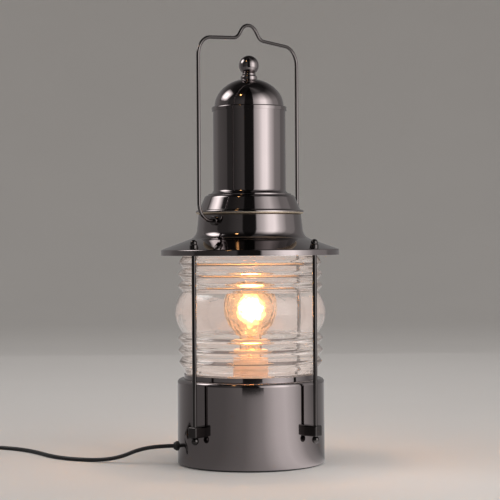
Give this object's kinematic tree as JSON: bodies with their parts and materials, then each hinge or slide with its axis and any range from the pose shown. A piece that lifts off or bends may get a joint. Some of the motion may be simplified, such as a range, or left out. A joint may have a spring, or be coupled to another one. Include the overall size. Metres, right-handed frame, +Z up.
{
  "type": "lantern table lamp",
  "caption": "Table lamp in the form of a ship's lantern in black nickel, with a ribbed drum lens, rod cage, chimney hood, wire bail and corded inline switch",
  "frame": {"origin": "centre of the underside of the felt pad, on the table", "axes": "+Z up the lamp's axis, X along the bail's pivots, cord leaving the drum towards -X +Y"},
  "size_m": [0.3685, 0.4496, 0.494],
  "materials": {
    "black_nickel": "polished black nickel plate on steel",
    "zinc_steel": "bright zinc plate",
    "lens_glass": "clear pressed glass",
    "bulb_clear_glass": "clear blown glass",
    "felt": "pressed felt",
    "gasket_rubber": "moulded",
    "holder_plastic": "cream moulded thermoset",
    "brass": "plain brass",
    "bulb_cap_metal": "pressed",
    "bulb_insulator_glass": "black glass",
    "filament_metal": "tungsten wire",
    "cord_sheath": "satin black sheath",
    "switch_plastic": "fine moulded texture",
    "rocker_plastic": "smooth",
    "pin_metal": "nickel plate"
  },
  "bodies": {
    "lamp": {"base_drum": "black_nickel", "rod_bracket_1": "black_nickel", "rod_bracket_2": "black_nickel", "rod_bracket_3": "black_nickel", "rod_bracket_4": "black_nickel", "rod_ball_nuts": "black_nickel", "rod_cap_nuts": "black_nickel", "rod_lock_nuts": "black_nickel", "cage_rod_1": "black_nickel", "cage_rod_2": "black_nickel", "cage_rod_3": "black_nickel", "cage_rod_4": "black_nickel", "lens_gallery": "black_nickel", "lens_clamp_ring": "black_nickel", "hood": "black_nickel", "shoulder_cap": "black_nickel", "chimney_tube": "black_nickel", "chimney_top_ring": "black_nickel", "dome_cap": "black_nickel", "finial": "black_nickel", "bail_bush_right": "black_nickel", "bail_bush_left": "black_nickel", "base_plate": "zinc_steel", "plate_screws": "zinc_steel", "plate_lugs": "zinc_steel", "bracket_screws": "zinc_steel", "tie_rod": "zinc_steel", "bridge_bar": "zinc_steel", "bridge_nut": "zinc_steel", "fresnel_lens": "lens_glass", "bulb_glass": "bulb_clear_glass", "bulb_stem": "bulb_clear_glass", "felt_pad": "felt", "lens_seat_gasket": "gasket_rubber", "lens_top_gasket": "gasket_rubber", "cord_grommet": "gasket_rubber", "lamp_holder_body": "holder_plastic", "lamp_holder_upper_ring": "holder_plastic", "lamp_holder_lower_ring": "holder_plastic", "lamp_holder_shell": "brass", "lamp_holder_contact": "brass", "bulb_cap": "bulb_cap_metal", "bulb_contact": "bulb_cap_metal", "bulb_insulator": "bulb_insulator_glass", "bulb_filament": "filament_metal", "filament_wires": "filament_metal", "inner_lead": "cord_sheath", "cord_run": "cord_sheath", "cord_link": "cord_sheath", "cord_coil": "cord_sheath", "cord_tail": "cord_sheath", "switch_lower_shell": "switch_plastic", "switch_upper_shell": "switch_plastic", "plug_body": "switch_plastic", "coil_tie": "switch_plastic", "switch_pin": "pin_metal", "plug_pins": "pin_metal"},
    "bail": {"bail": "black_nickel"},
    "rocker": {"switch_rocker": "rocker_plastic"}
  },
  "joints": [
    {"name": "bail_swing", "type": "hinge", "parent": "lamp", "child": "bail", "pos_m": [0, 0, 0.27232], "axis": [1, 0, 0], "range_deg": [-114, 114]},
    {"name": "switch_rock", "type": "hinge", "parent": "lamp", "child": "rocker", "pos_m": [-0.18457, 0.31935, 0.0095], "axis": [0.5433, -0.8396, 0], "range_deg": [-16, 0]}
  ]
}
